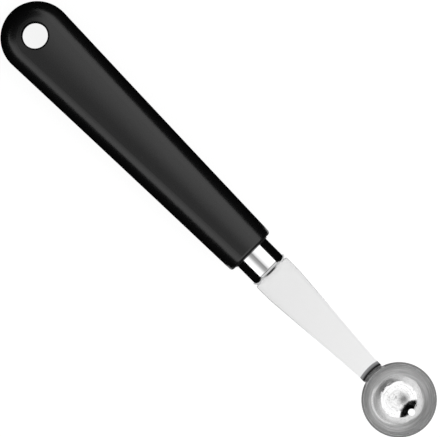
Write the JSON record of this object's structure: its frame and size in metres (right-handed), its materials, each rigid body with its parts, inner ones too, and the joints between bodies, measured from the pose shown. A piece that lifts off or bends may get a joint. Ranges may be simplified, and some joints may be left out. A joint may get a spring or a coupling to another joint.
{
  "type": "melon baller",
  "caption": "Melon baller: flattened oval handle with a hanging hole, steel ferrule, flat tapered shank and a half-round cup with a ground edge.",
  "frame": {"origin": "on the axis of the hanging hole, halfway through the handle's thickness", "axes": "+X along the tool from the handle towards the bowl, +Y across it, +Z along the hanging hole, on the side the bowl opens to"},
  "size_m": [0.1814, 0.0234, 0.0173],
  "materials": {
    "handle_plastic": "satin moulded",
    "ferrule_steel": "polished stainless",
    "shank_steel": "satin stainless",
    "bowl_steel": "satin stainless, polished in the middle",
    "weld_steel": "brushed weld"
  },
  "bodies": {
    "root": {"handle": "handle_plastic", "ferrule": "ferrule_steel", "shank": "shank_steel", "bowl": "bowl_steel", "neck_weld": "weld_steel"}
  },
  "joints": []
}
